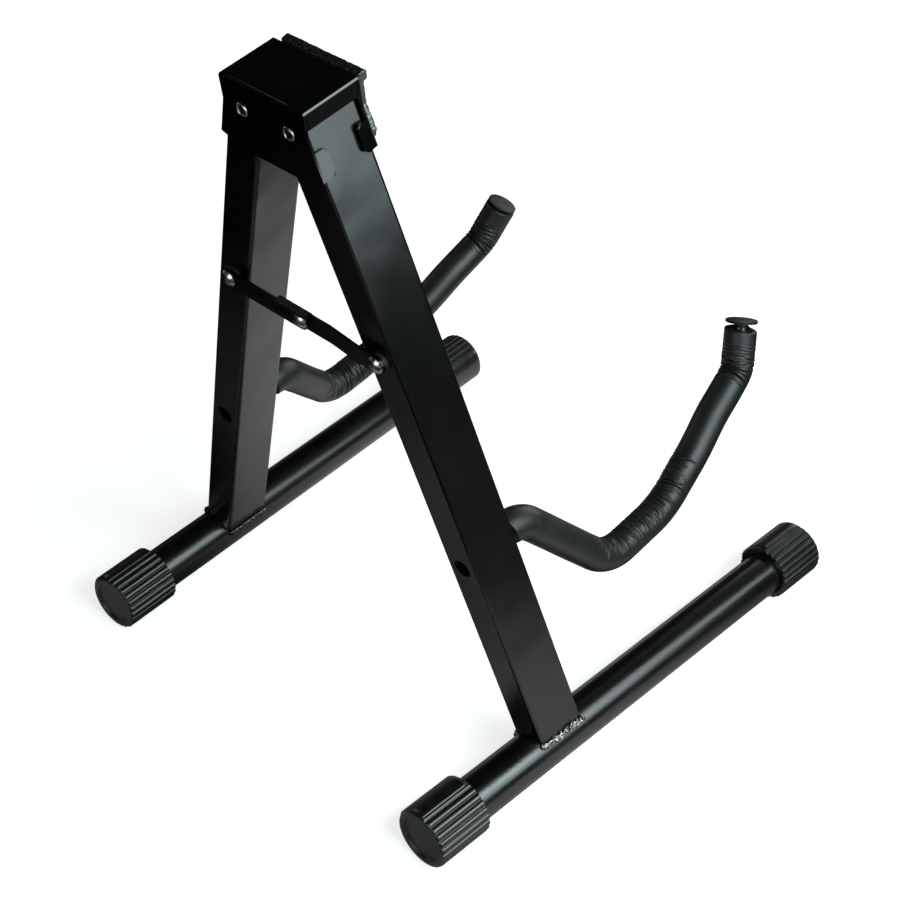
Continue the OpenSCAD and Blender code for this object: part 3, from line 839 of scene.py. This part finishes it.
# Painted pools of light that glossy rays see on it, painted reflections that no lamp casts: middle, inner
# and outer radius, and level
SHEET_PAINTED_GLOW = (
    ((0.09, -0.14), 0.06, 0.28, 0.65),
    ((-0.25, 0.05), 0.02, 0.28, 0.66),
    ((0.0, 0.22), 0.0, 0.16, 0.22),
    ((0.14, 0.41), 0.0, 0.22, 0.09),
    ((0.22, 0.17), 0.0, 0.14, 0.05),
    ((-0.80, -0.10), 0.10, 0.75, 0.10),
    ((-0.70, 0.95), 0.10, 0.75, 0.30),
)
# Painted shade: strips along Y beside the base tubes, dimmed in what glossy rays see: middle X, and inner
# and outer half width
SHEET_PAINTED_SHADE = ((-0.108, 0.014, 0.034), (0.180, 0.010, 0.030))
# how dark the painted shade makes its strips
PAINTED_SHADE_LEVEL = 0.06
# Small painted pools of light beside the rear feet's ends, clear of the painted shade
SHEET_PAINTED_SPOTS = (((-0.095, 0.175), 0.01, 0.07, 0.16), ((0.150, 0.175), 0.01, 0.07, 0.16))
# The sheet's own white to the camera, low enough near the stand to keep its shadow: distances and levels
SEEN_AWAY, SEEN_LEVEL = (0.25, 1.4), (0.66, 1.0)


def painted_pools(tree, place, spots, sheet):
    """Adds soft round painted pools of light to what glossy rays see of the sheet."""
    for middle, inner, outer, level in spots:
        away = tree.nodes.new("ShaderNodeVectorMath")
        away.operation = "DISTANCE"
        away.inputs[1].default_value = (*middle, 0)
        tree.links.new(place, away.inputs[0])
        pool = ranged(tree, away.outputs["Value"], (inner, outer), (level, 0.0), "SMOOTHSTEP")
        sheet = calc(tree, "ADD", sheet, pool)
    return sheet


def painted_shade(tree, place, sheet):
    """Paints shade on what glossy rays see of the sheet: dims the strips beside the base tubes."""
    split = tree.nodes.new("ShaderNodeSeparateXYZ")
    tree.links.new(place, split.inputs[0])
    for middle, inner, outer in SHEET_PAINTED_SHADE:
        away = calc(tree, "ABSOLUTE", calc(tree, "SUBTRACT", split.outputs["X"], middle))
        shade = ranged(tree, away, (inner, outer), (PAINTED_SHADE_LEVEL, 1.0), "SMOOTHSTEP")
        sheet = calc(tree, "MULTIPLY", sheet, shade)
    return sheet


def sheet_look():
    """Plain white with the stand's shadow to the camera, and soft painted pools of light and painted shade
    to glossy rays.
    """
    mat = bpy.data.materials.new("floor_white")
    mat.use_nodes = True
    tree = mat.node_tree
    tree.nodes.clear()
    path = tree.nodes.new("ShaderNodeLightPath").outputs
    place = tree.nodes.new("ShaderNodeTexCoord").outputs["Object"]
    sheet = painted_pools(tree, place, SHEET_PAINTED_GLOW, 0.0)
    sheet = painted_pools(tree, place, SHEET_PAINTED_SPOTS, painted_shade(tree, place, sheet))
    glossy = calc(tree, "MULTIPLY", sheet, path["Is Glossy Ray"])
    reach = tree.nodes.new("ShaderNodeVectorMath")
    reach.operation = "LENGTH"
    tree.links.new(place, reach.inputs[0])
    white = ranged(tree, reach.outputs["Value"], SEEN_AWAY, SEEN_LEVEL)
    seen = calc(tree, "MULTIPLY", path["Is Camera Ray"], white)
    glow = tree.nodes.new("ShaderNodeEmission")
    glow.inputs["Color"].default_value = (1, 1, 1, 1)
    strength = calc(tree, "ADD", calc(tree, "ADD", glossy, seen), path["Is Transmission Ray"])
    tree.links.new(strength, glow.inputs["Strength"])
    # glossy rays see the sheet's painted pools of light and painted shade, and not the lamps' light on it
    lit, unlit = (tree.nodes.new("ShaderNodeBsdfDiffuse") for _ in range(2))
    lit.inputs["Color"].default_value = SHEET_GREY
    unlit.inputs["Color"].default_value = (0, 0, 0, 1)
    pick = tree.nodes.new("ShaderNodeMixShader")
    total = tree.nodes.new("ShaderNodeAddShader")
    out = tree.nodes.new("ShaderNodeOutputMaterial")
    tree.links.new(path["Is Glossy Ray"], pick.inputs["Fac"])
    tree.links.new(lit.outputs[0], pick.inputs[1])
    tree.links.new(unlit.outputs[0], pick.inputs[2])
    tree.links.new(pick.outputs[0], total.inputs[0])
    tree.links.new(glow.outputs[0], total.inputs[1])
    tree.links.new(total.outputs[0], out.inputs["Surface"])
    return mat


def make_floor():
    """The sheet as a plain square, a hair under the feet."""
    mesh = bpy.data.meshes.new("floor")
    corners = [(x * SHEET_HALF, y * SHEET_HALF, 0) for x, y in ((-1, -1), (1, -1), (1, 1), (-1, 1))]
    mesh.from_pydata(corners, [], [(0, 1, 2, 3)])
    obj = bpy.data.objects.new("floor", mesh)
    scene.collection.objects.link(obj)
    obj.location.z = -SHEET_DROP
    mesh.materials.append(sheet_look())


# The room: how high up its backdrop fades in what glossy rays see, and its levels
ROOM_FADE, ROOM_GLOSS = (0.02, 0.35), (0.06, 0.004)
ROOM_LEVEL = 0.10


def make_world():
    """White to the camera, and a dim room with a pale backdrop low down to the stand."""
    world = bpy.data.worlds.new("studio")
    scene.world = world
    world.use_nodes = True
    tree = world.node_tree
    tree.nodes.clear()
    path = tree.nodes.new("ShaderNodeLightPath").outputs
    split = tree.nodes.new("ShaderNodeSeparateXYZ")
    tree.links.new(tree.nodes.new("ShaderNodeTexCoord").outputs["Generated"], split.inputs[0])
    backdrop = ranged(tree, split.outputs["Z"], ROOM_FADE, ROOM_GLOSS, "SMOOTHSTEP")
    room = mixed(tree, path["Is Glossy Ray"], ROOM_LEVEL, backdrop)
    clear = calc(tree, "MAXIMUM", path["Is Camera Ray"], path["Is Transmission Ray"])
    ground = tree.nodes.new("ShaderNodeBackground")
    ground.inputs["Color"].default_value = (1, 1, 1, 1)
    tree.links.new(mixed(tree, clear, room, 1.0), ground.inputs["Strength"])
    out = tree.nodes.new("ShaderNodeOutputWorld")
    tree.links.new(ground.outputs[0], out.inputs["Surface"])


# Softboxes: place and aim in metres, width, height, watts and colour. The key and the low one are a tall
# box beyond the stand's left side, and the side one is its end towards the front. The fills are for the
# sides that the photo doesn't show
KEY_WHITE, LOW_WHITE, FILL_WHITE = (0.84, 1.0, 0.99), (0.82, 1.0, 1.02), (0.95, 1.0, 1.0)
SOFTBOXES = (
    ("key", (-0.63, 0.0, 0.73), (0.0, 0.0, 0.62), 0.74, 0.54, 6.9, KEY_WHITE),
    ("low", (-0.675, -0.01, 0.36), (0.0, -0.01, 0.27), 0.76, 0.19, 1.3, LOW_WHITE),
    ("front_fill", (0.05, -0.95, 0.45), (0.03, 0.0, 0.25), 0.75, 0.5, 2.2, FILL_WHITE),
    ("right_fill", (0.95, 0.15, 0.48), (0.0, 0.08, 0.25), 0.6, 0.55, 0.5, FILL_WHITE),
    ("back_fill", (-0.15, 1.0, 0.40), (0.0, 0.0, 0.22), 0.6, 0.5, 1.8, FILL_WHITE),
    ("side", (-0.67, -0.55, 0.73), (0.0, -0.10, 0.50), 0.34, 0.52, 1.4, KEY_WHITE),
)


def softbox(name, at, aim, width, height, watts, color):
    """A soft rectangular lamp that the camera doesn't see."""
    light = bpy.data.lights.new(name, "AREA")
    light.shape = "RECTANGLE"
    light.size = width
    light.size_y = height
    light.energy = watts
    light.color = color
    obj = bpy.data.objects.new(name, light)
    scene.collection.objects.link(obj)
    obj.location = at
    obj.rotation_mode = "QUATERNION"
    obj.rotation_quaternion = (Vector(aim) - Vector(at)).to_track_quat("-Z", "Y")
    obj.visible_camera = False


make_floor()
make_world()
for row in SOFTBOXES:
    softbox(*row)

scene.view_settings.view_transform = "Standard"
